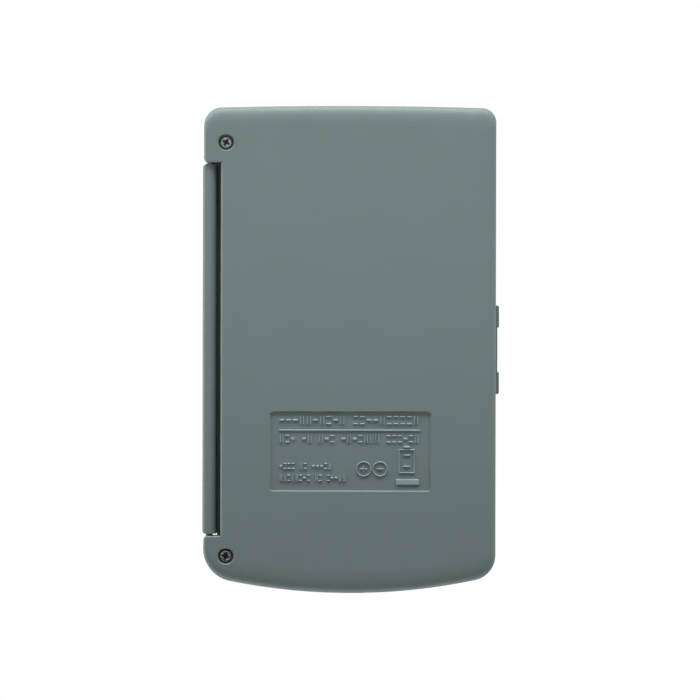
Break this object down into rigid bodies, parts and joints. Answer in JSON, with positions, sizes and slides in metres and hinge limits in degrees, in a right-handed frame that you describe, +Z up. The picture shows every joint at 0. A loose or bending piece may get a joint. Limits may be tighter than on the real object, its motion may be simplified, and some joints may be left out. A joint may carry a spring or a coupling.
{
  "type": "pocket calculator",
  "caption": "Slim pocket calculator with a hard cover on a folding hinge bar, rubber-domed keys, a small liquid crystal display and a button cell.",
  "frame": {"origin": "middle of the flat rear face, on the surface that the closed calculator lies on", "axes": "+X towards the hinge side, +Y towards the display end, +Z up through the keypad and the cover"},
  "size_m": [0.0712, 0.1166, 0.0102],
  "materials": {
    "casing_plastic": "fine spark-eroded moulding texture, grey-green",
    "key_light": "smooth satin moulding, pale grey",
    "key_dark": "smooth satin moulding, dark slate",
    "key_accent": "smooth satin moulding, brick red",
    "window_clear": "clear polished acrylic",
    "lcd_glass": "polarised display glass, grey-green",
    "reflector_foil": "satin silver-green foil",
    "frame_plastic": "plain white moulding",
    "mat_rubber": "grey silicone rubber",
    "board_laminate": "green lacquered laminate",
    "black_resin": "poured black resin",
    "chip_ceramic": "fired ceramic",
    "screw_steel": "bright zinc, slightly dull in the recess",
    "pin_steel": "ground steel wire",
    "cell_steel": "nickel-plated steel can",
    "contact_brass": "plated spring brass",
    "pad_foam": "closed-cell foam"
  },
  "bodies": {
    "casing": {"rear_casing": "casing_plastic", "front_casing": "casing_plastic", "hinge_pins": "pin_steel", "casing_screws": "screw_steel", "display_window": "window_clear", "lcd_cell": "lcd_glass", "lcd_reflector": "reflector_foil", "lcd_frame": "frame_plastic", "zebra_strip": "mat_rubber", "circuit_board": "board_laminate", "board_screws": "screw_steel", "chip_coating": "black_resin", "chip_parts": "chip_ceramic", "key_mat": "mat_rubber", "button_cell": "cell_steel", "cell_contact_positive": "contact_brass", "cell_contact_negative": "contact_brass", "cell_pad": "pad_foam"},
    "hinge_bar": {"hinge_bar": "casing_plastic"},
    "cover": {"flip_cover": "casing_plastic", "cover_pins": "pin_steel"},
    "key_root_sign": {"key_root_sign": "key_dark"},
    "key_percent": {"key_percent": "key_dark"},
    "key_off": {"key_off": "key_accent"},
    "key_on_clear": {"key_on_clear": "key_accent"},
    "key_memory_recall": {"key_memory_recall": "key_dark"},
    "key_memory_minus": {"key_memory_minus": "key_dark"},
    "key_memory_plus": {"key_memory_plus": "key_dark"},
    "key_divide": {"key_divide": "key_dark"},
    "key_7": {"key_7": "key_light"},
    "key_8": {"key_8": "key_light"},
    "key_9": {"key_9": "key_light"},
    "key_multiply": {"key_multiply": "key_dark"},
    "key_4": {"key_4": "key_light"},
    "key_5": {"key_5": "key_light"},
    "key_6": {"key_6": "key_light"},
    "key_minus": {"key_minus": "key_dark"},
    "key_1": {"key_1": "key_light"},
    "key_2": {"key_2": "key_light"},
    "key_3": {"key_3": "key_light"},
    "key_plus": {"key_plus": "key_dark"},
    "key_0": {"key_0": "key_light"},
    "key_point": {"key_point": "key_light"},
    "key_equals": {"key_equals": "key_dark"}
  },
  "joints": [
    {"name": "bar_fold", "type": "hinge", "parent": "casing", "child": "hinge_bar", "pos_m": [0.0336, 0, 0.0028], "axis": [0, 1, 0], "range_deg": [0, 180]},
    {"name": "cover_fold", "type": "hinge", "parent": "hinge_bar", "child": "cover", "pos_m": [0.0336, 0, 0.00855], "axis": [0, 1, 0], "range_deg": [0, 180]},
    {"name": "press_root_sign", "type": "slide", "parent": "casing", "child": "key_root_sign", "axis": [0, 0, -1], "range_m": [0, 0.0006], "stiffness_N_per_m": 600, "springref_m": -0.0004, "deforming": ["key_mat"]},
    {"name": "press_percent", "type": "slide", "parent": "casing", "child": "key_percent", "axis": [0, 0, -1], "range_m": [0, 0.0006], "stiffness_N_per_m": 600, "springref_m": -0.0004, "deforming": ["key_mat"]},
    {"name": "press_off", "type": "slide", "parent": "casing", "child": "key_off", "axis": [0, 0, -1], "range_m": [0, 0.0006], "stiffness_N_per_m": 600, "springref_m": -0.0004, "deforming": ["key_mat"]},
    {"name": "press_on_clear", "type": "slide", "parent": "casing", "child": "key_on_clear", "axis": [0, 0, -1], "range_m": [0, 0.0006], "stiffness_N_per_m": 600, "springref_m": -0.0004, "deforming": ["key_mat"]},
    {"name": "press_memory_recall", "type": "slide", "parent": "casing", "child": "key_memory_recall", "axis": [0, 0, -1], "range_m": [0, 0.0006], "stiffness_N_per_m": 600, "springref_m": -0.0004, "deforming": ["key_mat"]},
    {"name": "press_memory_minus", "type": "slide", "parent": "casing", "child": "key_memory_minus", "axis": [0, 0, -1], "range_m": [0, 0.0006], "stiffness_N_per_m": 600, "springref_m": -0.0004, "deforming": ["key_mat"]},
    {"name": "press_memory_plus", "type": "slide", "parent": "casing", "child": "key_memory_plus", "axis": [0, 0, -1], "range_m": [0, 0.0006], "stiffness_N_per_m": 600, "springref_m": -0.0004, "deforming": ["key_mat"]},
    {"name": "press_divide", "type": "slide", "parent": "casing", "child": "key_divide", "axis": [0, 0, -1], "range_m": [0, 0.0006], "stiffness_N_per_m": 600, "springref_m": -0.0004, "deforming": ["key_mat"]},
    {"name": "press_7", "type": "slide", "parent": "casing", "child": "key_7", "axis": [0, 0, -1], "range_m": [0, 0.0006], "stiffness_N_per_m": 600, "springref_m": -0.0004, "deforming": ["key_mat"]},
    {"name": "press_8", "type": "slide", "parent": "casing", "child": "key_8", "axis": [0, 0, -1], "range_m": [0, 0.0006], "stiffness_N_per_m": 600, "springref_m": -0.0004, "deforming": ["key_mat"]},
    {"name": "press_9", "type": "slide", "parent": "casing", "child": "key_9", "axis": [0, 0, -1], "range_m": [0, 0.0006], "stiffness_N_per_m": 600, "springref_m": -0.0004, "deforming": ["key_mat"]},
    {"name": "press_multiply", "type": "slide", "parent": "casing", "child": "key_multiply", "axis": [0, 0, -1], "range_m": [0, 0.0006], "stiffness_N_per_m": 600, "springref_m": -0.0004, "deforming": ["key_mat"]},
    {"name": "press_4", "type": "slide", "parent": "casing", "child": "key_4", "axis": [0, 0, -1], "range_m": [0, 0.0006], "stiffness_N_per_m": 600, "springref_m": -0.0004, "deforming": ["key_mat"]},
    {"name": "press_5", "type": "slide", "parent": "casing", "child": "key_5", "axis": [0, 0, -1], "range_m": [0, 0.0006], "stiffness_N_per_m": 600, "springref_m": -0.0004, "deforming": ["key_mat"]},
    {"name": "press_6", "type": "slide", "parent": "casing", "child": "key_6", "axis": [0, 0, -1], "range_m": [0, 0.0006], "stiffness_N_per_m": 600, "springref_m": -0.0004, "deforming": ["key_mat"]},
    {"name": "press_minus", "type": "slide", "parent": "casing", "child": "key_minus", "axis": [0, 0, -1], "range_m": [0, 0.0006], "stiffness_N_per_m": 600, "springref_m": -0.0004, "deforming": ["key_mat"]},
    {"name": "press_1", "type": "slide", "parent": "casing", "child": "key_1", "axis": [0, 0, -1], "range_m": [0, 0.0006], "stiffness_N_per_m": 600, "springref_m": -0.0004, "deforming": ["key_mat"]},
    {"name": "press_2", "type": "slide", "parent": "casing", "child": "key_2", "axis": [0, 0, -1], "range_m": [0, 0.0006], "stiffness_N_per_m": 600, "springref_m": -0.0004, "deforming": ["key_mat"]},
    {"name": "press_3", "type": "slide", "parent": "casing", "child": "key_3", "axis": [0, 0, -1], "range_m": [0, 0.0006], "stiffness_N_per_m": 600, "springref_m": -0.0004, "deforming": ["key_mat"]},
    {"name": "press_plus", "type": "slide", "parent": "casing", "child": "key_plus", "axis": [0, 0, -1], "range_m": [0, 0.0006], "stiffness_N_per_m": 600, "springref_m": -0.0004, "deforming": ["key_mat"]},
    {"name": "press_0", "type": "slide", "parent": "casing", "child": "key_0", "axis": [0, 0, -1], "range_m": [0, 0.0006], "stiffness_N_per_m": 600, "springref_m": -0.0004, "deforming": ["key_mat"]},
    {"name": "press_point", "type": "slide", "parent": "casing", "child": "key_point", "axis": [0, 0, -1], "range_m": [0, 0.0006], "stiffness_N_per_m": 600, "springref_m": -0.0004, "deforming": ["key_mat"]},
    {"name": "press_equals", "type": "slide", "parent": "casing", "child": "key_equals", "axis": [0, 0, -1], "range_m": [0, 0.0006], "stiffness_N_per_m": 600, "springref_m": -0.0004, "deforming": ["key_mat"]}
  ]
}
